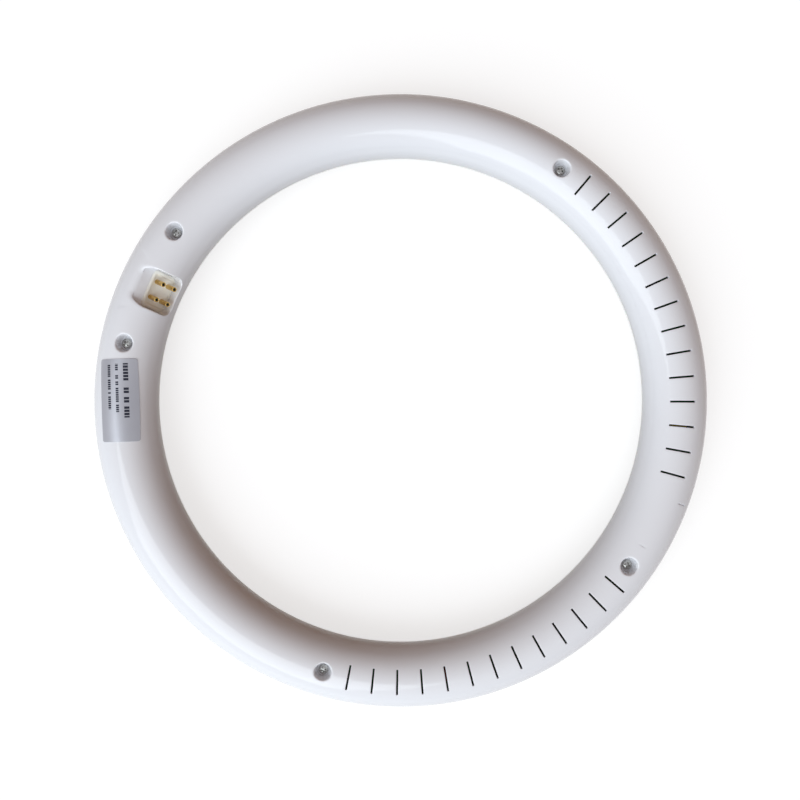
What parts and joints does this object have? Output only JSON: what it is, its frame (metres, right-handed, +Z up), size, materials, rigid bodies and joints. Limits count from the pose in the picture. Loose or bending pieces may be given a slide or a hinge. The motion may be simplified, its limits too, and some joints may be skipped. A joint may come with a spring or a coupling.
{
  "type": "circular led tube",
  "caption": "Ring-shaped LED lamp that replaces a circular fluorescent tube: vented white back housing, opal diffuser, and a tilted pocket with contact pins.",
  "frame": {"origin": "middle of the ring, on the surface that the lamp lies on with its light side down", "axes": "+Z up through the ring, towards the vented back; +X towards the plug pocket"},
  "size_m": [0.299, 0.299, 0.0312],
  "materials": {
    "housing_white": "moulded, glossy",
    "diffuser_opal": "opal, satin",
    "base_cream": "moulded, satin",
    "pin_brass": "bright",
    "screw_steel": "plated",
    "label_foil": "satin foil",
    "board_white": "white solder mask",
    "board_green": "green solder mask",
    "led_yellow": "phosphor",
    "ceramic_cream": "matte",
    "varistor_blue": "dipped",
    "film_red": "moulded case",
    "ferrite": "sintered",
    "black_resin": "moulded",
    "can_sleeve": "sleeved can",
    "bobbin_white": "moulded",
    "winding_tape": "taped winding",
    "lead_red": "insulation",
    "lead_white": "insulation",
    "lead_black": "insulation"
  },
  "bodies": {
    "root": {"back_housing": "housing_white", "diffuser": "diffuser_opal", "pin_base": "base_cream", "contact_pin_1": "pin_brass", "contact_pin_2": "pin_brass", "contact_pin_3": "pin_brass", "contact_pin_4": "pin_brass", "pin_bridge_1": "pin_brass", "pin_bridge_2": "pin_brass", "housing_screws": "screw_steel", "rating_label": "label_foil", "led_board": "board_white", "led_packages": "led_yellow", "input_board": "board_green", "driver_board": "board_green", "fuse": "ceramic_cream", "varistor": "varistor_blue", "film_capacitor": "film_red", "filter_choke": "ferrite", "bridge_rectifier": "black_resin", "bulk_capacitor": "can_sleeve", "driver_chip": "black_resin", "transformer_core": "ferrite", "transformer_bobbin": "bobbin_white", "transformer_winding": "winding_tape", "output_diode": "black_resin", "output_capacitor": "can_sleeve", "input_lead_1": "lead_white", "input_lead_2": "lead_white", "link_lead_1": "lead_red", "link_lead_2": "lead_black", "led_lead_1": "lead_red", "led_lead_2": "lead_black"}
  },
  "joints": []
}
